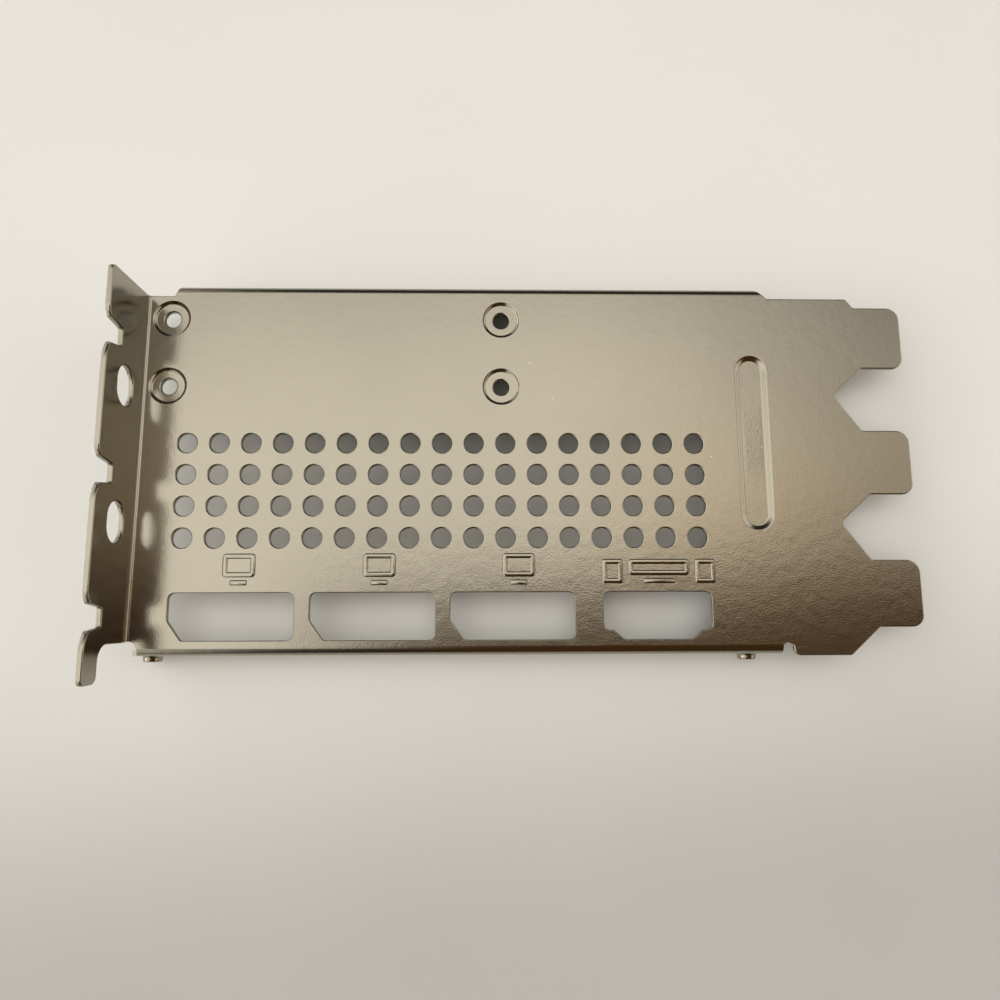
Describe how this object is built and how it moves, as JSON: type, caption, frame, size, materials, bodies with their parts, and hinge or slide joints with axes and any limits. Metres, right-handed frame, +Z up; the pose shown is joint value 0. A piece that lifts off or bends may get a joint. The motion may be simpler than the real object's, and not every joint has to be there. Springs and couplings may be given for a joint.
{
  "type": "graphics card bracket",
  "caption": "Folded sheet-steel rear bracket for a multi-slot graphics card: notched screw tab, chassis tongues, vent field, connector windows, dished screw seats and side flanges.",
  "frame": {"origin": "middle of the footprint on the floor, below the lying bracket", "axes": "+X from the screw tab to the tongue tips, +Y across the slots, away from the connector windows, +Z up, out of the plate's visible face"},
  "size_m": [0.1208, 0.0614, 0.0189],
  "materials": {
    "nickel_plate": "satin nickel plating"
  },
  "bodies": {
    "root": {"bracket": "nickel_plate"}
  },
  "joints": []
}
